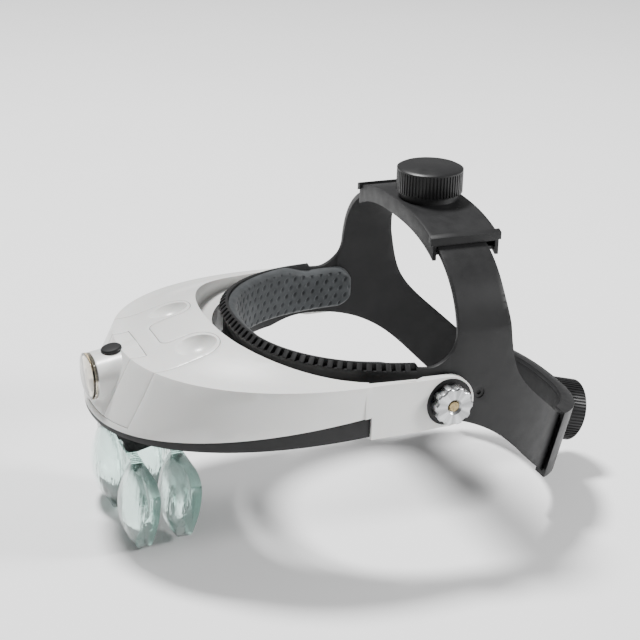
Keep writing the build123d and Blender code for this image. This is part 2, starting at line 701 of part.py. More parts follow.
def module_outline(grow):
    """Plan of the lamp module: front panel and two ears that straddle the shell's tongue."""
    with BuildSketch() as sketch:
        with BuildLine():
            Polyline((-35.9, -180), (-35.9, -163), (-36.9, -152), (-36.9, MODULE_CORNER_Y), (-MODULE_HALF, -120),
                     (MODULE_HALF, -120), (36.9, MODULE_CORNER_Y), (36.9, -152), (35.9, -163), (35.9, -180),
                     close=True)
        make_face()
        for side in (-1, 1):
            with Locations((side * (MODULE_HALF + TONGUE_HALF) / 2, EAR_REAR_Y - 20)):
                RectangleRounded(MODULE_HALF - TONGUE_HALF, 40, 11)
        with BuildSketch(mode=Mode.SUBTRACT):
            with Locations((0, TONGUE_FRONT_Y + 20)):
                RectangleRounded(2 * TONGUE_HALF, 40, 5)
        if grow:
            offset(amount=grow, kind=Kind.INTERSECTION)
    return sketch.sketch


def module_prism(grow):
    with BuildPart() as prism:
        extrude(to_extrude=module_outline(grow), amount=80, both=True)
    return prism.part & above_lip(MODULE_LIP - grow)


OUTER_FORM = visor_form(0)
INNER_FORM = visor_form(SHELL_WALL)
SKIN = OUTER_FORM - INNER_FORM


def arm_outline():
    """Side view of both visor arms: root strip and round end."""
    root = ARM_ROOT_Y - END_WALL
    lower_corner = ARM_ROOT_Y + SEAM
    with BuildPart() as prism:
        with BuildSketch(Plane.YZ.offset(-120)):
            with BuildLine():
                Polyline((root, CREASE_Z), (-40, CREASE_Z), (-22, ARM_END_RADIUS + 0.2), (PIVOT_Y, ARM_END_RADIUS),
                         (PIVOT_Y, -ARM_END_RADIUS), (lower_corner, -ARM_END_RADIUS - 0.4),
                         (lower_corner, rim_height(lower_corner)), (root, rim_height(root)), close=True)
            make_face()
            with Locations((PIVOT_Y, 0)):
                Circle(ARM_END_RADIUS)
        extrude(amount=240)
    return prism.part


def arm_flange():
    """Lip that carries the shell's top edge into the left arm."""
    root = ARM_ROOT_Y - END_WALL
    with BuildPart() as lip:
        with BuildSketch(Plane.XY.offset(CREASE_Z - SKIRT_WALL)):
            with BuildLine():
                Polyline((CREASE_X - 1.0, root), (80.9, root), (82.1, -40), (83.0, -27), (84.2, -27),
                         (CREASE_X - 1.2, -40), close=True)
            make_face()
        extrude(amount=SKIRT_WALL)
    return lip.part


def left_arm():
    """The left side arm, from the shell's corner to the temple pivot."""
    root = ARM_ROOT_Y - END_WALL
    outer = CREASE_X - 0.2
    pivot = Plane(origin=(RING_X, PIVOT_Y, 0), z_dir=(1, 0, 0))
    with BuildPart() as arm:
        with BuildSketch(Plane.XY.offset(-25)):
            with BuildLine():
                Spline((outer, root), (outer - 0.3, -40), (84.7, -24), (ARM_OUTER_X, PIVOT_Y - 4))
                Polyline((ARM_OUTER_X, PIVOT_Y - 4), (ARM_OUTER_X, 8), (ARM_INNER_X, 8), (ARM_INNER_X, -21.8),
                         (81.9, -25.5))
                Spline((81.9, -25.5), (82.6, -40), (outer - ARM_WALL, root))
                Line((outer - ARM_WALL, root), (outer, root))
            make_face()
        extrude(amount=50)
    bare = (arm.part & arm_outline()) + arm_flange()
    recess = rod(WASHER_RADIUS + 0.2, pivot.offset(ARM_RECESS_X - RING_X), 10)
    return bare - recess - rod(BOLT_RADIUS + FIT, pivot, 40)


def skirt_band(opening, low, high, inner=None):
    """A wall round an oval opening, kept inside the shell's outer form."""
    ring = opening_form(opening, SKIRT_WALL, low, high) - opening_form(inner or opening, 0, low - 1, high + 1)
    return ring & (OUTER_FORM & block((-120, -200, -60), (120, ARM_ROOT_Y - END_WALL, 60)))


def end_wall():
    """Short walls that close the rear of the shell beside the headband."""
    wall = block((-90, ARM_ROOT_Y - 2 * END_WALL, SKIRT_BOTTOM), (90, ARM_ROOT_Y - END_WALL, LEDGE_Z))
    return (wall - opening_form(SKIRT_OPENING, 0, -40, 60)) & OUTER_FORM


def tray_height(y):
    """Height of the underside of the tray that closes the visor from below."""
    return TRIM_BOTTOM_Z + TRIM_SLOPE * (y - TRIM_BOTTOM_Y)


def tray_boss(x, y):
    """A post in the shell that a tray screw is driven into."""
    axis = Plane(origin=(x, y, tray_height(y) + TRAY_PAD))
    return (rod(BOSS_RADIUS, axis, 60) & OUTER_FORM) - rod(SCREW_RADIUS, axis, SCREW_LENGTH)


with BuildPart() as visor_shell:
    add(SKIN - opening_form(OPENING, 0, -60, 60) - module_prism(SEAM))
    add(skirt_band(OPENING, LEDGE_Z - SKIRT_WALL, 40, SKIRT_OPENING) - opening_form(OPENING, 0, LEDGE_Z, 60))
    add(skirt_band(SKIRT_OPENING, SKIRT_BOTTOM, LEDGE_Z))
    add(end_wall())
    add([left_arm(), left_arm().mirror(Plane.YZ)])
    add([tray_boss(x, y) for x, y in TRAY_SCREWS])
save(visor_shell, "visor_shell")

# ---------------------------------------------------------------- visor tray
def tray_slab(low, high):
    """The wedge under the shell's lower edge, between two heights above the tray's underside."""
    front, rear = -180, ARM_ROOT_Y
    points = [(front, tray_height(front) + low), (rear, tray_height(rear) + low),
              (rear, tray_height(rear) + high), (front, tray_height(front) + high)]
    return side_prism(points)


TRAY_OVAL = (RIM_X - 0.4, RIM_FRONT - 0.4, VISOR_POWER, VISOR_CENTRE_Y)
under_rim = side_prism([(-180, rim_height(-180)), (-180, -40), (ARM_ROOT_Y, -40), (ARM_ROOT_Y, rim_height(ARM_ROOT_Y))])
tray_bound = opening_form(TRAY_OVAL, 0, -40, 20) & under_rim
tray_inside = opening_form(TRAY_OVAL, -SHELL_WALL, -41, 21) - opening_form(SKIRT_OPENING, SKIRT_WALL, -42, 22)
tray_inside = tray_inside & block((-120, -200, -40), (120, ARM_ROOT_Y - SKIRT_WALL, 20))
tray_body = (tray_bound & tray_slab(0, 30)) - (tray_inside & tray_slab(FLOOR_WALL, 40))
tray_body = tray_body - opening_form(SKIRT_OPENING, 0, -40, 20)

with BuildPart() as visor_tray:
    add(tray_body)
    for x, y in TRAY_SCREWS:
        seat = Plane(origin=(x, y, tray_height(y)))
        add(rod(5, seat.offset(1), 20) & under_rim)
        add(rod(3.0, seat.offset(-3), 3 + HEAD_DEPTH), mode=Mode.SUBTRACT)
        add(rod(SCREW_RADIUS + 0.1, seat, 10), mode=Mode.SUBTRACT)
    for x, y in BRACKET_SCREWS:
        seat = Plane(origin=(x, y, tray_height(y) + 1))
        add(rod(3.2, seat, 4.5))
        add(rod(SCREW_RADIUS - 0.2, seat.offset(-3), 7.5), mode=Mode.SUBTRACT)
save(visor_tray, "visor_tray")

with BuildPart() as tray_screws:
    for x, y in TRAY_SCREWS:
        add(pan_screw(SCREW_LENGTH + 1.2, SCREW_RADIUS - 0.05, 2.8, 1.5).moved(
            Location((x, y, tray_height(y) + HEAD_DEPTH))))
save(tray_screws, "tray_screws")

# ---------------------------------------------------------------- lamp module
def scoop(side, grow=0.0):
    """The egg-shaped hollow in one ear of the cover, grown by a wall thickness if needed."""
    with BuildPart() as egg:
        with BuildSketch():
            Ellipse(SCOOP_RADIUS + grow, SCOOP_HALF_LENGTH + grow)
            Rectangle(100, 100, align=(Align.MAX, Align.CENTER), mode=Mode.SUBTRACT)
        revolve(axis=Axis.Y)
    return egg.part.moved(Location((side * SCOOP_X, SCOOP_Y, SCOOP_Z)))


def lamp_base(grow):
    """The strip of the front panel that belongs to the lamp housing."""
    half = LAMP_BASE_HALF + grow
    return block((-half, -200, -60), (half, LAMP_BASE_REAR_Y + grow, 60))


def snout(wall):
    """The lamp's flared barrel, less a wall thickness."""
    front = LAMP_SHELL_Y - (1 if wall else 0)
    with BuildPart() as barrel:
        loft([oval(LAMP_HALF_X - wall, LAMP_HALF_Z - wall, LAMP_POWER, LAMP_Z, Plane.XZ.offset(-front)),
              oval(LAMP_HALF_X + LAMP_FLARE - wall, LAMP_HALF_Z + 2 * LAMP_FLARE - wall, LAMP_POWER, LAMP_Z + 1,
                   Plane.XZ.offset(-LAMP_BASE_REAR_Y))], ruled=True)
    return barrel.part


def lamp_plate(half_x, half_z, front_y, rear_y):
    """An oval plate that stands across the lamp."""
    return oval_prism(half_x, half_z, LAMP_POWER, LAMP_Z, 0, rear_y - front_y, Plane.XZ.offset(-rear_y))


panel = SKIN & module_prism(0)
with BuildPart() as battery_cover:
    add(panel - lamp_base(SEAM))
    for side in (-1, 1):
        add(scoop(side, SCOOP_WALL) & OUTER_FORM & module_prism(0))
        add(scoop(side), mode=Mode.SUBTRACT)
save(battery_cover, "battery_cover")

BUTTON_PLANE = Plane(origin=(0, BUTTON_Y, BUTTON_Z), x_dir=(1, 0, 0),
                     z_dir=(0, -sin(radians(BUTTON_TILT)), cos(radians(BUTTON_TILT))))
barrel = ((panel & lamp_base(0)) + (snout(0) - INNER_FORM)) - snout(LAMP_WALL)
barrel = barrel - rod(BUTTON_RADIUS + FIT, BUTTON_PLANE.offset(-5), 10)
for side in (-1, 1):
    low, high = sorted((side * 7.5, side * 16))
    barrel = barrel + (block((low, BOARD_FRONT_Y + 0.5, BOARD_Z - 1.7), (high, BOARD_REAR_Y - 0.5, BOARD_Z)) & snout(0))

for side, name in ((1, "lamp_housing_left"), (-1, "lamp_housing_right")):
    low, high = sorted((0, side * 60))
    with BuildPart() as housing:
        add(barrel & block((low, -200, -60), (high, -100, 60)))
    save(housing, name)

with BuildPart() as lamp_window:
    add(lamp_plate(LAMP_HALF_X, LAMP_HALF_Z, LAMP_FACE_Y, LAMP_SHELL_Y - FLANGE_THICKNESS))
    add(lamp_plate(LAMP_HALF_X - 1.6, LAMP_HALF_Z - 1.6, LAMP_FACE_Y + 1.4, LAMP_SHELL_Y), mode=Mode.SUBTRACT)
save(lamp_window, "lamp_window")

with BuildPart() as lamp_reflector:
    add(lamp_plate(LAMP_HALF_X - 0.3, LAMP_HALF_Z - 0.3, LAMP_SHELL_Y - FLANGE_THICKNESS, LAMP_SHELL_Y))
    add(lamp_plate(LAMP_HALF_X - 2.1, LAMP_HALF_Z - 2.1, LAMP_FACE_Y + 1.6, REFLECTOR_REAR_Y))
    for side in (-1, 1):
        with Locations(Location((side * LED_X, REFLECTOR_REAR_Y, LAMP_Z), (90, 0, 0))):
            Cone(LED_RADIUS + 0.2, 5.6, REFLECTOR_REAR_Y - LAMP_FACE_Y - 1.5, mode=Mode.SUBTRACT,
                 align=(Align.CENTER, Align.CENTER, Align.MIN))
            Cylinder(LED_RADIUS + 0.1, 2, mode=Mode.SUBTRACT)
save(lamp_reflector, "lamp_reflector")

with BuildPart() as lamp_leds:
    for side in (-1, 1):
        with Locations(Location((side * LED_X, BOARD_FRONT_Y, LAMP_Z), (90, 0, 0))):
            Cylinder(LED_RADIUS, 3.6, align=(Align.CENTER, Align.CENTER, Align.MIN))
        with Locations((side * LED_X, BOARD_FRONT_Y - 3.6, LAMP_Z)):
            Sphere(LED_RADIUS)
save(lamp_leds, "lamp_leds")

with BuildPart() as circuit_board:
    add(block((-10, BOARD_FRONT_Y, BOARD_Z), (10, BOARD_REAR_Y, BOARD_Z + BOARD_WALL)))
save(circuit_board, "circuit_board")

with BuildPart() as lamp_switch:
    add(block((-3, SWITCH_Y - 3, BOARD_Z + BOARD_WALL), (3, SWITCH_Y + 3, SWITCH_TOP - 1.2)))
    add(rod(1.7, Plane(origin=(0, SWITCH_Y, SWITCH_TOP - 1.2)), 1.2))
save(lamp_switch, "lamp_switch")

with BuildPart() as lamp_button:
    with BuildSketch(Plane.XZ):
        with BuildLine():
            Polyline((0, -3.95), (2, -3.95), (2, -3.4), (BUTTON_RADIUS + 0.9, -3.4), (BUTTON_RADIUS + 0.9, -2.6),
                     (BUTTON_RADIUS, -2.6), (BUTTON_RADIUS, BUTTON_PROUD - 0.7), (BUTTON_RADIUS - 0.5, BUTTON_PROUD - 0.2),
                     (BUTTON_RADIUS - 2, BUTTON_PROUD), (0, BUTTON_PROUD + 0.15), close=True)
        make_face()
    revolve(axis=Axis.Z)
lamp_button.part = lamp_button.part.moved(Location(BUTTON_PLANE))
save(lamp_button, "lamp_button")

# ---------------------------------------------------------------- batteries
with BuildPart() as battery_tray:
    half = BATTERY_LENGTH / 2 + 3.25
    add(side_prism([(-147, -7.5), (-110, -1), (-110, 7.2), (-147, 0.5)], half))
    for y, z in BATTERY_PLACES:
        bay = Plane(origin=(-BATTERY_LENGTH / 2 - CONTACT_ROOM, y, z), z_dir=(1, 0, 0))
        add(rod(BATTERY_RADIUS + 0.15, bay, BATTERY_LENGTH + 2 * CONTACT_ROOM), mode=Mode.SUBTRACT)
    for side in (-1, 1):
        low, high = sorted((side * (half - 2.5), side * half))
        add(block((low, -146, -2), (high, -137, 40)) & INNER_FORM)
save(battery_tray, "battery_tray")

with BuildPart() as batteries:
    for y, z in BATTERY_PLACES:
        end = Plane(origin=(-BATTERY_LENGTH / 2, y, z), z_dir=(1, 0, 0))
        add(rod(BATTERY_RADIUS, end, BATTERY_LENGTH - 0.9))
        add(rod(1.9, end.offset(BATTERY_LENGTH - 0.9), 0.9))
save(batteries, "batteries")

with BuildPart() as battery_contacts:
    for y, z in BATTERY_PLACES:
        for start in (-BATTERY_LENGTH / 2 - CONTACT_ROOM, BATTERY_LENGTH / 2 + 0.1):
            add(rod(4.4, Plane(origin=(start, y, z), z_dir=(1, 0, 0)), CONTACT_ROOM - 0.1))
save(battery_contacts, "battery_contacts")

# ---------------------------------------------------------------- lens bracket and plates
def cheek():
    """Side view of the bracket's cheeks, round enough at each pin for its plate to swing."""
    front_y, front_z = FRONT_PIN
    rear_y, rear_z = REAR_PIN
    return [(-166, tray_height(-166)), (front_y - 4.1, front_z + 2), (front_y - 4.1, front_z),
            (front_y - 3.1, front_z - 2.6), (front_y - 1.1, front_z - 4), (front_y + 3.5, front_z - 4),
            (rear_y - 3.2, rear_z - 2.7), (rear_y - 1.1, rear_z - 4),
            (rear_y + 1.1, rear_z - 4), (rear_y + 3.2, rear_z - 2.5), (rear_y + 4.1, rear_z),
            (rear_y + 4.1, rear_z + 2.5), (-124, tray_height(-124))]


with BuildPart() as lens_bracket:
    add(side_prism(cheek(), CHEEK_OUTER))
    add(block((-CHEEK_INNER, -200, -60), (CHEEK_INNER, 0, 0)), mode=Mode.SUBTRACT)
    for y, depth in ((-163, 6), (-141, 8)):
        add(block((-CHEEK_INNER, y, tray_height(y) - depth), (CHEEK_INNER, y + 1.8, tray_height(y) - 0.5)))
    flange = side_prism([(-160, tray_height(-160)), (-125, tray_height(-125)),
                         (-125, tray_height(-125) - 2), (-160, tray_height(-160) - 2)], BRACKET_HALF)
    add(flange)
    for y, z in (FRONT_PIN, REAR_PIN):
        add(rod(PIN_RADIUS, Plane(origin=(-20, y, z), z_dir=(1, 0, 0)), 40), mode=Mode.SUBTRACT)
    for x, y in BRACKET_SCREWS:
        add(rod(SCREW_RADIUS, Plane(origin=(x, y, -60)), 60), mode=Mode.SUBTRACT)
save(lens_bracket, "lens_bracket")

with BuildPart() as bracket_screws:
    for x, y in BRACKET_SCREWS:
        add(pan_screw(6.8, SCREW_RADIUS - 0.25, 2.4, 1.5).moved(Location((x, y, tray_height(y) - 2.15))))
save(bracket_screws, "bracket_screws")

with BuildPart() as lens_pins:
    for y, z in (FRONT_PIN, REAR_PIN):
        add(rod(PIN_RADIUS, Plane(origin=(-CHEEK_OUTER, y, z), z_dir=(1, 0, 0)), 2 * CHEEK_OUTER))
save(lens_pins, "lens_pins")


def lens_lobe():
    """Front view of the left lobe of a plate, with its flat top edge on the X axis."""
    with BuildSketch() as lobe:
        with BuildLine():
            Line((3, 0), (38, 0))
            Spline((38, 0), (43.5, -0.4), (48, -2.2), (50.8, -5.5), (51, -10), (49, -17), (45, -25), (39, -34),
                   (33, -41), (27, -44.4), (20, -44.4), (13.5, -41), (8.6, -34), (5.6, -26), (4, -18))
            Line((4, -18), (3, 0))
        make_face()
    return lobe.sketch


def lens_dome(pin):
    """The convex front of the left lens: a ball trimmed to the lobe's outline."""
    pin_y, pin_z = pin
    ball_radius = (LENS_RADIUS ** 2 + LENS_BULGE ** 2) / (2 * LENS_BULGE)
    front = pin_y - LENS_EDGE / 2
    with BuildPart() as ball:
        with Locations((LENS_X, front - LENS_BULGE + ball_radius, pin_z - PLATE_DROP - LENS_Z)):
            Sphere(ball_radius)
    with BuildPart() as prism:
        with BuildSketch(Plane.XZ.offset(-front)):
            with Locations((0, pin_z - PLATE_DROP)):
                add(lens_lobe())
        extrude(amount=LENS_BULGE + 1)
    return ball.part & prism.part


def lens_plate(pin):
    """A moulded pair of lenses, hung from its pin by a clip."""
    pin_y, pin_z = pin
    top = Plane.XZ.offset(-pin_y - LENS_EDGE / 2)
    with BuildPart() as plate:
        with BuildSketch(top):
            with Locations((0, pin_z - PLATE_DROP)):
                add(lens_lobe())
                add(lens_lobe().mirror(Plane.YZ))
                with Locations((0, -7)):
                    Rectangle(9, 14)
        extrude(amount=LENS_EDGE)
        add([lens_dome(pin), lens_dome(pin).mirror(Plane.YZ)])
        for x in (8, 10, 12, 14, 16, 18, 20):
            for side in (-1, 1):
                with Locations((side * x, pin_y, pin_z - PLATE_DROP)):
                    Box(0.8, LENS_EDGE + 2, 1.0, mode=Mode.SUBTRACT)
        add(block((-CLIP_HALF, pin_y - 1.7, pin_z - PLATE_DROP - 1), (CLIP_HALF, pin_y + 1.7, pin_z)))
        grip = Plane(origin=(-CLIP_HALF, pin_y, pin_z), z_dir=(1, 0, 0))
        add(rod(CLIP_RADIUS, grip, 2 * CLIP_HALF))
        add(rod(PIN_RADIUS + FIT, grip.offset(-1), 2 * CLIP_HALF + 2), mode=Mode.SUBTRACT)
        add(block((-CLIP_HALF - 1, pin_y - 1.1, pin_z), (CLIP_HALF + 1, pin_y + 1.1, pin_z + 6)), mode=Mode.SUBTRACT)
    return plate


for pin, name in ((FRONT_PIN, "lens_plate_front"), (REAR_PIN, "lens_plate_rear")):
    save(lens_plate(pin), name)
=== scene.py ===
"""Looks of the head visor magnifier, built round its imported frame. Lengths are in metres."""

import json
from math import copysign, cos, pi, radians, sin

import bmesh
import bpy
from mathutils import Matrix, Vector


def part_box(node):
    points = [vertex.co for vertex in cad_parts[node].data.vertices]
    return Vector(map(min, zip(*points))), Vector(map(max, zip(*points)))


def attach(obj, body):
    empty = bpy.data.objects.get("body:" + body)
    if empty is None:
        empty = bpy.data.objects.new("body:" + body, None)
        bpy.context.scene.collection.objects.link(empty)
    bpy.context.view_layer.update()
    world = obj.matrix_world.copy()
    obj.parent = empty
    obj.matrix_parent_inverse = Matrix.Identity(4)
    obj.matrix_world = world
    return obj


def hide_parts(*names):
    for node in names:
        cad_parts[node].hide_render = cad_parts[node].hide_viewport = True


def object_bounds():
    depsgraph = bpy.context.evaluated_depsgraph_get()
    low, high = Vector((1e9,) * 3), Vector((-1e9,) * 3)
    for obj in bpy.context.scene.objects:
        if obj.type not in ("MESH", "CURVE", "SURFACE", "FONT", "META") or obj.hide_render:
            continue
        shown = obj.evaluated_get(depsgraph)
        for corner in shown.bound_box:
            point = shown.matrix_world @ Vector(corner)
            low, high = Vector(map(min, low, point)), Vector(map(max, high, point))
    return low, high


MM = 0.001
MICRON = 0.000001

# Camera: the point it looks at, its direction, roll and distance, and its lens in mm
VIEW_TARGET = Vector((12.9, -50.4, 21.7)) * MM
VIEW_AZIMUTH = radians(68.3)
VIEW_ELEVATION = radians(21.7)
VIEW_ROLL = radians(1.67)
VIEW_DISTANCE = 947 * MM
VIEW_LENS = 103.1
VIEW_SENSOR = 36
VIEW_REACH = 20

# Studio: each light's name, place, diameter and power in watts
LIGHTS = (
    ("key", (-0.6, -0.3, 1.7), 0.4, 62),
    ("side", (0.9, 1.6, 0.9), 0.6, 48),
)
WORLD_STRENGTH = 0.3
FLOOR_SIZE = 12
FLOOR_GAP = 0.5 * MM

# Ring that the forehead pad lines: a superellipse of this power
RING_POWER = 2.4

# Forehead pad: its steps, and how finely its path is first drawn and how far past a half turn
PAD_STEPS_ROUND = 560
PAD_STEPS_UP = 72
PATH_DENSITY = 6
PATH_OVERRUN = 0.3

# The pad's depth, rolled edge, crown, distance from the band, least depth and corner radius
PAD_DEPTH = 5.3 * MM
PAD_EDGE = 3.2 * MM
PAD_CROWN = 0.10
PAD_BACK_GAP = 0.05 * MM
PAD_LEAST_DEPTH = 0.1 * MM
PAD_CORNER = 10 * MM

# The pad's top edge drops towards the temples, between these two places along Y
PAD_DROP = 4.2 * MM
PAD_DROP_FROM = -42 * MM
PAD_DROP_TO = -24 * MM

# Slanting oval dimples in the pad, none within the margin of its edge
DIMPLE_PITCH = 6.0 * MM
DIMPLE_ROW = 4.6 * MM
DIMPLE_SLANT = 0.42
DIMPLE_HALF_LONG = 1.55 * MM
DIMPLE_HALF_WIDE = 1.05 * MM
DIMPLE_DEPTH = 0.9 * MM
DIMPLE_ROUNDNESS = 0.7
DIMPLE_MARGIN = 2.2 * MM

# Width in mm of the rounded edge on each part; parts that are not named have none
EDGES = {
    "visor_shell": 0.45,
    "visor_tray": 0.35,
    "battery_cover": 0.3,
    "lamp_housing_left": 0.25,
    "lamp_housing_right": 0.25,
    "lamp_window": 0.25,
    "lamp_button": 0.15,
    "headband": 0.3,
    "crown_housing": 0.4,
    "crown_base": 0.3,
    "crown_knob": 0.18,
    "rear_housing": 0.45,
    "rear_base": 0.3,
    "rear_knob": 0.18,
    "thumb_nut_left": 0.22,
    "thumb_nut_right": 0.22,
    "pivot_washers": 0.2,
    "pivot_bolts": 0.2,
    "lens_bracket": 0.25,
    "lens_plate_front": 0.45,
    "lens_plate_rear": 0.45,
}
EDGE_SEGMENTS = 2
EDGE_ANGLE = radians(38)
WELD_REACH = 10 * MICRON
SMOOTH_ANGLE = radians(32)

# Materials: the usual span of a noise texture, its roughness, and the strength of every relief
TEXTURE_LOW = 0.3
TEXTURE_HIGH = 0.7
NOISE_ROUGHNESS = 0.55
RELIEF_STRENGTH = 0.3


# ---------------------------------------------------------------- node helpers
def new_material(name):
    """A material with its node tree and its shader."""
    material = bpy.data.materials.new(name)
    material.use_nodes = True
    tree = material.node_tree
    return material, tree, tree.nodes["Principled BSDF"]


def new_metal(name):
    """A metal with its node tree and its shader."""
    material, tree, shader = new_material(name)
    shader.inputs["Metallic"].default_value = 1.0
    return material, tree, shader


def link(tree, source, output, target, socket):
    """Joins a node's output to another node's socket."""
    tree.links.new(source.outputs[output], target.inputs[socket])


def object_place(tree):
    """A node that gives the object's own coordinates."""
    return tree.nodes.new("ShaderNodeTexCoord")


def noise(tree, scale, detail=4.0, stretch=(1, 1, 1)):
    """A noise texture on the object's own coordinates."""
    mapping = tree.nodes.new("ShaderNodeMapping")
    mapping.inputs["Scale"].default_value = stretch
    texture = tree.nodes.new("ShaderNodeTexNoise")
    texture.inputs["Scale"].default_value = scale
    texture.inputs["Detail"].default_value = detail
    texture.inputs["Roughness"].default_value = NOISE_ROUGHNESS
    link(tree, object_place(tree), "Object", mapping, "Vector")
    link(tree, mapping, "Vector", texture, "Vector")
    return texture


def cells(tree, scale):
    """A cell texture on the object's own coordinates."""
    texture = tree.nodes.new("ShaderNodeTexVoronoi")
    texture.inputs["Scale"].default_value = scale
    link(tree, object_place(tree), "Object", texture, "Vector")
    return texture


def vector_step(tree, operation, source, output, value=None):
    """One step of vector arithmetic on another node's output."""
    step = tree.nodes.new("ShaderNodeVectorMath")
    step.operation = operation
    if value is not None:
        step.inputs[1].default_value = value
    link(tree, source, output, step, 0)
    return step


def tint(tree, shader, texture, dark, light, low=0.35, high=0.65):
    """Varies the base colour between two near shades."""
    ramp = tree.nodes.new("ShaderNodeValToRGB")
    ramp.color_ramp.elements[0].position = low
    ramp.color_ramp.elements[1].position = high
    ramp.color_ramp.elements[0].color = (*dark, 1)
    ramp.color_ramp.elements[1].color = (*light, 1)
    link(tree, texture, 0, ramp, "Fac")
    link(tree, ramp, "Color", shader, "Base Color")


def vary_gloss(tree, shader, texture, low, high):
    """Varies the roughness between two values."""
    spread = tree.nodes.new("ShaderNodeMapRange")
    spread.inputs["From Min"].default_value = TEXTURE_LOW
    spread.inputs["From Max"].default_value = TEXTURE_HIGH
    spread.inputs["To Min"].default_value = low
    spread.inputs["To Max"].default_value = high
    link(tree, texture, 0, spread, "Value")
    link(tree, spread, "Result", shader, "Roughness")


def emboss(tree, shader, texture, height, before=None):
    """Adds a fine relief to the surface, on top of an earlier one."""
    bump = tree.nodes.new("ShaderNodeBump")
    bump.inputs["Strength"].default_value = RELIEF_STRENGTH
    bump.inputs["Distance"].default_value = height
    link(tree, texture, 0, bump, "Height")
    if before:
        link(tree, before, "Normal", bump, "Normal")
    link(tree, bump, "Normal", shader, "Normal")
    return bump


# ---------------------------------------------------------------- materials
def moulded_plastic(name, dark, light, roughness, grain, height):
    """Moulded plastic with a spark-eroded grain and slight cloudiness in colour and gloss."""
    material, tree, shader = new_material(name)
    shader.inputs["Specular IOR Level"].default_value = 0.3
    tint(tree, shader, noise(tree, 45), dark, light)
    vary_gloss(tree, shader, noise(tree, 160), roughness - 0.05, roughness + 0.06)
    first = emboss(tree, shader, cells(tree, grain), height)
    emboss(tree, shader, noise(tree, 2.3 * grain), 0.5 * height, first)
    return material


def satin_shell(name):
    """Off-white satin shell with a very light orange-peel surface."""
    material, tree, shader = new_material(name)
    shader.inputs["Coat Weight"].default_value = 0.25
    shader.inputs["Coat Roughness"].default_value = 0.18
    shader.inputs["Subsurface Weight"].default_value = 0.06
    shader.inputs["Subsurface Scale"].default_value = 0.002
    tint(tree, shader, noise(tree, 22), (0.70, 0.70, 0.68), (0.735, 0.735, 0.715))
    vary_gloss(tree, shader, noise(tree, 240), 0.30, 0.40)
    first = emboss(tree, shader, noise(tree, 420, 2.0), 12 * MICRON)
    emboss(tree, shader, noise(tree, 2600, 2.0), 6 * MICRON, first)
    return material


def foam_skin(name):
    """Charcoal skin of the soft pad, matt and slightly leathery."""
    material, tree, shader = new_material(name)
    shader.inputs["Sheen Weight"].default_value = 0.12
    shader.inputs["Sheen Roughness"].default_value = 0.5
    shader.inputs["Specular IOR Level"].default_value = 0.35
    tint(tree, shader, noise(tree, 130), (0.022, 0.025, 0.027), (0.036, 0.040, 0.043))
    vary_gloss(tree, shader, noise(tree, 300), 0.58, 0.75)
    first = emboss(tree, shader, cells(tree, 1500), 100 * MICRON)
    emboss(tree, shader, noise(tree, 3500), 50 * MICRON, first)
    return material


def clear_plastic(name, colour, absorb, density, smoothest, roughest, ripple):
    """Clear moulded plastic with a faint tint through its thickness, haze and upright ripples."""
    material, tree, shader = new_material(name)
    shader.inputs["Transmission Weight"].default_value = 1.0
    shader.inputs["IOR"].default_value = 1.49
    tint(tree, shader, noise(tree, 40), tuple(0.985 * c for c in colour), colour)
    vary_gloss(tree, shader, noise(tree, 90), smoothest, roughest)
    emboss(tree, shader, noise(tree, 420, 2.0, (1, 1, 0.06)), ripple)
    volume = tree.nodes.new("ShaderNodeVolumeAbsorption")
    volume.inputs["Color"].default_value = (*absorb, 1)
    volume.inputs["Density"].default_value = density
    link(tree, volume, "Volume", tree.nodes["Material Output"], "Volume")
    return material


def turned_metal(name, dark, light, roughness):
    """Metal turned on a lathe about the temple pivots, with fine rings, and a painted sheen: its
    colour lighter and darker in soft patches around the pivot axis.
    """
    material, tree, shader = new_metal(name)
    centred = vector_step(
        tree, "SUBTRACT", object_place(tree), "Object", (0, pivot_y(), 0)
    )
    across = vector_step(tree, "MULTIPLY", centred, "Vector", (0, 1, 1))
    radius = vector_step(tree, "LENGTH", across, "Vector")
    around = vector_step(tree, "NORMALIZE", across, "Vector")
    rings = tree.nodes.new("ShaderNodeTexNoise")
    rings.noise_dimensions = "1D"
    rings.inputs["Scale"].default_value = 3200
    rings.inputs["Detail"].default_value = 3.0
    link(tree, radius, "Value", rings, "W")
    # Painted sheen: the colour turns lighter and darker in soft patches around the pivot axis,
    # standing in for the turned metal's highlights
    painted_sheen_sectors = tree.nodes.new("ShaderNodeTexNoise")
    painted_sheen_sectors.inputs["Scale"].default_value = 2.2
    painted_sheen_sectors.inputs["Detail"].default_value = 3.0
    link(tree, around, "Vector", painted_sheen_sectors, "Vector")
    # The painted sheen goes into the base colour, from the dark to the light shade
    tint(tree, shader, painted_sheen_sectors, dark, light, 0.4, 0.6)
    vary_gloss(tree, shader, rings, roughness - 0.06, roughness + 0.08)
    emboss(tree, shader, rings, 10 * MICRON)
    return material


def threaded_metal(name, dark, light, pitch):
    """A plated screw thread along X."""
    material, tree, shader = new_metal(name)
    thread = tree.nodes.new("ShaderNodeTexWave")
    thread.bands_direction = "X"
    thread.inputs["Scale"].default_value = pi / (10 * pitch)
    link(tree, object_place(tree), "Object", thread, "Vector")
    tint(tree, shader, noise(tree, 700), dark, light)
    vary_gloss(tree, shader, noise(tree, 900), 0.22, 0.42)
    emboss(tree, shader, thread, 200 * MICRON)
    return material


def brushed_metal(name, dark, light, roughness, stretch=(1, 1, 8)):
    """Plated or brushed metal with fine scratches along one direction."""
    material, tree, shader = new_metal(name)
    scratches = noise(tree, 900, 4.0, stretch)
    tint(tree, shader, noise(tree, 150), dark, light)
    vary_gloss(tree, shader, scratches, roughness - 0.05, roughness + 0.1)
    emboss(tree, shader, scratches, 10 * MICRON)
    return material


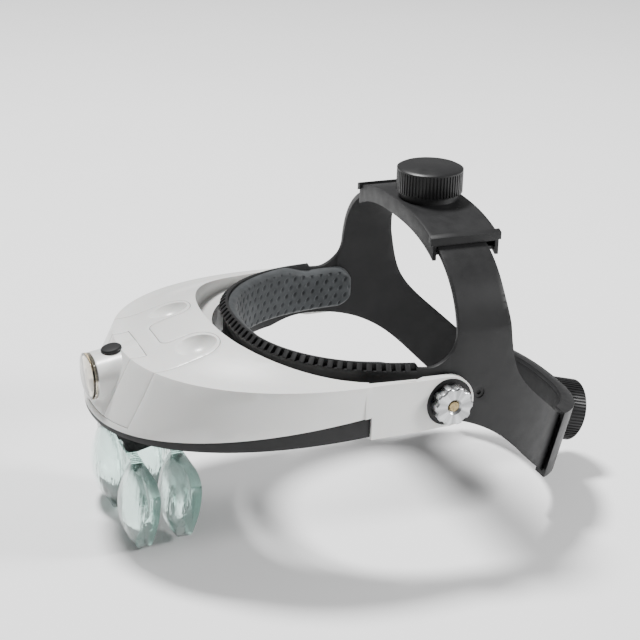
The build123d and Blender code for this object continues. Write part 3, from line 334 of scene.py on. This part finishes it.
def led_resin(name):
    """Cream, slightly milky resin of the LED bodies."""
    material, tree, shader = new_material(name)
    shader.inputs["Transmission Weight"].default_value = 0.35
    shader.inputs["Coat Weight"].default_value = 0.4
    tint(tree, shader, noise(tree, 500), (0.85, 0.78, 0.5), (0.93, 0.88, 0.66))
    vary_gloss(tree, shader, noise(tree, 700), 0.1, 0.22)
    emboss(tree, shader, noise(tree, 900), 10 * MICRON)
    return material


# Each slot's kind of material and what sets it apart, beginning with its dark and light shade
BLACK = {"dark": (0.0085, 0.0085, 0.009), "light": (0.0125, 0.0125, 0.013)}
MATERIALS = {
    "white_shell": (satin_shell, {}),
    "black_plastic": (
        moulded_plastic,
        {**BLACK, "roughness": 0.48, "grain": 1900, "height": 40 * MICRON},
    ),
    "black_knob": (
        moulded_plastic,
        {**BLACK, "roughness": 0.38, "grain": 2600, "height": 20 * MICRON},
    ),
    "black_button": (
        moulded_plastic,
        {**BLACK, "roughness": 0.42, "grain": 3000, "height": 10 * MICRON},
    ),
    "switch_black": (
        moulded_plastic,
        {**BLACK, "roughness": 0.35, "grain": 2600, "height": 10 * MICRON},
    ),
    "board_green": (
        moulded_plastic,
        {
            "dark": (0.01, 0.12, 0.04),
            "light": (0.02, 0.18, 0.07),
            "roughness": 0.35,
            "grain": 900,
            "height": 20 * MICRON,
        },
    ),
    "tray_grey": (
        moulded_plastic,
        {
            "dark": (0.42, 0.42, 0.41),
            "light": (0.48, 0.48, 0.47),
            "roughness": 0.45,
            "grain": 1900,
            "height": 30 * MICRON,
        },
    ),
    "charcoal_pad": (foam_skin, {}),
    "clear_lens": (
        clear_plastic,
        {
            "colour": (0.985, 1.0, 0.995),
            "absorb": (0.45, 0.88, 0.77),
            "density": 15,
            "smoothest": 0.0,
            "roughest": 0.015,
            "ripple": 800 * MICRON,
        },
    ),
    "clear_window": (
        clear_plastic,
        {
            "colour": (1.0, 0.975, 0.90),
            "absorb": (0.95, 0.80, 0.5),
            "density": 60,
            "smoothest": 0.01,
            "roughest": 0.05,
            "ripple": 20 * MICRON,
        },
    ),
    "led_lens": (led_resin, {}),
    "reflector_chrome": (
        brushed_metal,
        {
            "dark": (0.52, 0.51, 0.49),
            "light": (0.68, 0.67, 0.65),
            "roughness": 0.12,
            "stretch": (1, 1, 1),
        },
    ),
    # Its dark and light shades are the two ends of the painted sheen around the pivot axis
    "nut_aluminium": (
        turned_metal,
        {
            "dark": (0.34, 0.345, 0.35),
            "light": (0.60, 0.61, 0.62),
            "roughness": 0.28,
        },
    ),
    "bolt_brass": (
        threaded_metal,
        {
            "dark": (0.24, 0.18, 0.09),
            "light": (0.42, 0.33, 0.18),
            "pitch": 0.8 * MM,
        },
    ),
    "screw_steel": (
        brushed_metal,
        {
            "dark": (0.30, 0.30, 0.31),
            "light": (0.44, 0.44, 0.45),
            "roughness": 0.34,
        },
    ),
    "battery_metal": (
        brushed_metal,
        {
            "dark": (0.06, 0.12, 0.28),
            "light": (0.08, 0.15, 0.33),
            "roughness": 0.35,
            "stretch": (8, 1, 1),
        },
    ),
    "contact_nickel": (
        brushed_metal,
        {
            "dark": (0.62, 0.60, 0.56),
            "light": (0.72, 0.70, 0.66),
            "roughness": 0.28,
        },
    ),
}


def pivot_y():
    """Y of the temple pivots, from the thumb nut's box."""
    low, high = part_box("thumb_nut_left")
    return (low.y + high.y) / 2


# ---------------------------------------------------------------- CAD parts
def dress_cad(frame):
    """Gives every CAD part its material and its rounded edges, and returns the materials."""
    made = {}
    shading = smooth_group()
    for part in frame["record"]["subparts"]:
        node, slot = part["node"], part["material_slot"]
        if slot not in made:
            kind, values = MATERIALS[slot]
            made[slot] = kind(slot, **values)
        piece = frame["nodes"][node]
        piece.data.materials.clear()
        piece.data.materials.append(made[slot])
        if node in EDGES:
            weld = piece.modifiers.new("weld", "WELD")
            weld.merge_threshold = WELD_REACH
            bevel = piece.modifiers.new("edge", "BEVEL")
            bevel.width = EDGES[node] * MM
            bevel.segments = EDGE_SEGMENTS
            bevel.limit_method = "ANGLE"
            bevel.angle_limit = EDGE_ANGLE
        piece.data.shade_smooth()
        smooth = piece.modifiers.new("smooth", "NODES")
        smooth.node_group = shading
    return made


def smooth_group():
    """A node group that shades flat only across sharp edges."""
    group = bpy.data.node_groups.new("smooth_by_angle", "GeometryNodeTree")
    for direction in ("INPUT", "OUTPUT"):
        group.interface.new_socket(
            "Geometry", in_out=direction, socket_type="NodeSocketGeometry"
        )
    start = group.nodes.new("NodeGroupInput")
    end = group.nodes.new("NodeGroupOutput")
    angle = group.nodes.new("GeometryNodeInputMeshEdgeAngle")
    compare = group.nodes.new("FunctionNodeCompare")
    compare.operation = "LESS_EQUAL"
    compare.inputs[1].default_value = SMOOTH_ANGLE
    edges = group.nodes.new("GeometryNodeSetShadeSmooth")
    edges.domain = "EDGE"
    faces = group.nodes.new("GeometryNodeSetShadeSmooth")
    faces.domain = "FACE"
    link(group, angle, "Unsigned Angle", compare, 0)
    link(group, start, 0, faces, "Geometry")
    link(group, faces, "Geometry", edges, "Geometry")
    link(group, compare, 0, edges, "Shade Smooth")
    link(group, edges, "Geometry", end, 0)
    return group


# ---------------------------------------------------------------- forehead pad
def ring_point(turn, half_x, half_y):
    """A point on the ring and its inward direction, at an angle from +X towards the forehead."""
    c, s = cos(turn), -sin(turn)
    x = half_x * copysign(abs(c) ** (2 / RING_POWER), c)
    y = half_y * copysign(abs(s) ** (2 / RING_POWER), s)
    outward = Vector(
        (
            copysign(abs(x / half_x) ** (RING_POWER - 1) / half_x, x),
            copysign(abs(y / half_y) ** (RING_POWER - 1) / half_y, y),
            0,
        )
    )
    return Vector((x, y, 0)), -outward.normalized()


def dimple(along, up):
    """Depth of the dimples at a place on the pad; each second row is shifted by half a pitch."""
    row = round(up / DIMPLE_ROW)
    offset = 0.5 * DIMPLE_PITCH * (row % 2)
    column = round((along - offset) / DIMPLE_PITCH)
    du = along - offset - column * DIMPLE_PITCH
    dv = up - row * DIMPLE_ROW
    lean = du - DIMPLE_SLANT * dv
    reach = (lean / DIMPLE_HALF_WIDE) ** 2 + (dv / DIMPLE_HALF_LONG) ** 2
    return DIMPLE_DEPTH * max(0.0, 1 - reach) ** DIMPLE_ROUNDNESS


def limit(value):
    """The value kept between 0 and 1."""
    return min(1.0, max(0.0, value))


def pad_path(half_x, half_y, end_y):
    """Evenly spaced points along the ring, from one end of the pad to the other."""
    dense = []
    count = PATH_DENSITY * PAD_STEPS_ROUND
    for i in range(count + 1):
        turn = -PATH_OVERRUN + (pi + 2 * PATH_OVERRUN) * i / count
        point, inward = ring_point(turn, half_x, half_y)
        if point.y <= end_y:
            dense.append((point, inward))
    lengths = [0.0]
    for (a, _), (b, _) in zip(dense, dense[1:]):
        lengths.append(lengths[-1] + (b - a).length)
    path = []
    at = 0
    for i in range(PAD_STEPS_ROUND + 1):
        goal = lengths[-1] * i / PAD_STEPS_ROUND
        while at < len(lengths) - 2 and lengths[at + 1] < goal:
            at += 1
        span = lengths[at + 1] - lengths[at] or 1.0
        share = limit((goal - lengths[at]) / span)
        point = dense[at][0].lerp(dense[at + 1][0], share)
        inward = dense[at][1].lerp(dense[at + 1][1], share).normalized()
        path.append((point, inward, goal))
    return path, lengths[-1]


def swell(gap):
    """Share of the pad's depth at a distance from its edge: a rounded roll, then nearly flat."""
    t = limit(gap / PAD_EDGE)
    return (1 - (1 - t) ** 2) ** 0.5


def pad_height(low_z, high_z, y, end_gap):
    """Bottom and top of the pad at a Y and at a distance from its nearer end."""
    t = limit((y - PAD_DROP_FROM) / (PAD_DROP_TO - PAD_DROP_FROM))
    top = high_z - PAD_DROP * t * t * (3 - 2 * t)
    bottom = low_z
    if end_gap < PAD_CORNER:
        cut = PAD_CORNER - (PAD_CORNER**2 - (PAD_CORNER - end_gap) ** 2) ** 0.5
        top, bottom = top - cut, bottom + cut
    return bottom, top


def forehead_pad(skin):
    """The dimpled pad: a crowned strip of foam with a rolled edge, lining the forehead band."""
    low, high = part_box("forehead_pad")
    path, length = pad_path(high.x, -low.y, high.y)
    mesh = bmesh.new()
    front, back = [], []
    for point, inward, along in path:
        end_gap = min(along, length - along)
        bottom, top = pad_height(low.z, high.z, point.y, end_gap)
        middle, half_z = (top + bottom) / 2, (top - bottom) / 2
        front_row, back_row = [], []
        for j in range(PAD_STEPS_UP + 1):
            share = 2 * j / PAD_STEPS_UP - 1
            up = half_z * share
            gap = min(half_z - abs(up), end_gap)
            depth = PAD_DEPTH * (1 - PAD_CROWN * share**2) * swell(gap)
            if gap > DIMPLE_MARGIN:
                depth -= dimple(along - length / 2, middle + up)
            base = point + Vector((0, 0, middle + up))
            back_row.append(mesh.verts.new(base + inward * PAD_BACK_GAP))
            front_row.append(mesh.verts.new(base + inward * max(depth, PAD_LEAST_DEPTH)))
        front.append(front_row)
        back.append(back_row)
    steps = len(path) - 1
    for i in range(steps):
        for j in range(PAD_STEPS_UP):
            mesh.faces.new(
                (front[i][j], front[i][j + 1], front[i + 1][j + 1], front[i + 1][j])
            )
            mesh.faces.new(
                (back[i][j], back[i + 1][j], back[i + 1][j + 1], back[i][j + 1])
            )
        for j in (0, PAD_STEPS_UP):
            mesh.faces.new((front[i][j], front[i + 1][j], back[i + 1][j], back[i][j]))
    for i in (0, steps):
        for j in range(PAD_STEPS_UP):
            mesh.faces.new((front[i][j], back[i][j], back[i][j + 1], front[i][j + 1]))
    bmesh.ops.recalc_face_normals(mesh, faces=mesh.faces)
    data = bpy.data.meshes.new("pad_skin")
    mesh.to_mesh(data)
    mesh.free()
    data.shade_smooth()
    data.materials.append(skin)
    piece = bpy.data.objects.new("pad_skin", data)
    bpy.context.scene.collection.objects.link(piece)
    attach(piece, "headgear")
    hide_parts("forehead_pad")


# ---------------------------------------------------------------- studio
def pale_floor(height):
    """A pale floor below the part."""
    bpy.ops.mesh.primitive_plane_add(size=FLOOR_SIZE, location=(0, 0, height))
    floor = bpy.context.object
    floor.name = "floor"
    material, tree, shader = new_material("floor")
    shader.inputs["Specular IOR Level"].default_value = 0.2
    tint(tree, shader, noise(tree, 3), (0.93, 0.93, 0.93), (0.95, 0.95, 0.95))
    vary_gloss(tree, shader, noise(tree, 8), 0.7, 0.8)
    floor.data.materials.append(material)


def soft_light():
    """A white surround and the round area lights, turned to the origin."""
    world = bpy.data.worlds.new("studio")
    world.use_nodes = True
    background = world.node_tree.nodes["Background"]
    background.inputs["Color"].default_value = (1, 1, 1, 1)
    background.inputs["Strength"].default_value = WORLD_STRENGTH
    bpy.context.scene.world = world
    for name, place, size, power in LIGHTS:
        light = bpy.data.lights.new(name, "AREA")
        light.shape = "DISK"
        light.size = size
        light.energy = power
        lamp = bpy.data.objects.new(name, light)
        lamp.location = place
        lamp.rotation_euler = (-Vector(place)).to_track_quat("-Z", "Y").to_euler()
        bpy.context.scene.collection.objects.link(lamp)


def view_camera():
    """The camera, from its direction, roll and distance."""
    camera = bpy.data.cameras.new("camera")
    camera.lens = VIEW_LENS
    camera.sensor_width = VIEW_SENSOR
    camera.clip_end = VIEW_REACH
    eye = bpy.data.objects.new("camera", camera)
    bpy.context.scene.collection.objects.link(eye)
    back = Vector(
        (
            sin(VIEW_AZIMUTH) * cos(VIEW_ELEVATION),
            -cos(VIEW_AZIMUTH) * cos(VIEW_ELEVATION),
            sin(VIEW_ELEVATION),
        )
    )
    right = Vector((cos(VIEW_AZIMUTH), sin(VIEW_AZIMUTH), 0))
    up = back.cross(right)
    right_rolled = right * cos(VIEW_ROLL) + up * sin(VIEW_ROLL)
    up_rolled = up * cos(VIEW_ROLL) - right * sin(VIEW_ROLL)
    turn = Matrix((right_rolled, up_rolled, back)).transposed().to_4x4()
    eye.matrix_world = Matrix.Translation(VIEW_TARGET + back * VIEW_DISTANCE) @ turn
    bpy.context.scene.camera = eye


def plain(bounds):
    """A box's corners as lists."""
    return [list(corner) for corner in bounds]


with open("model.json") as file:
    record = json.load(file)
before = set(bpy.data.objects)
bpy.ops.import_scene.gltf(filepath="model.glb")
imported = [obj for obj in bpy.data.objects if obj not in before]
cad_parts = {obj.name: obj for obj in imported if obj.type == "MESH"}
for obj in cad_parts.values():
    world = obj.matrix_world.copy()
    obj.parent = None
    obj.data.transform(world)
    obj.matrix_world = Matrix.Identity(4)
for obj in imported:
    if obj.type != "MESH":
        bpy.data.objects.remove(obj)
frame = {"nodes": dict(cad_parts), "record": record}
cad_box = plain(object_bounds())
made = dress_cad(frame)
forehead_pad(made["charcoal_pad"])
pale_floor(cad_box[0][2] - FLOOR_GAP)
soft_light()
view_camera()
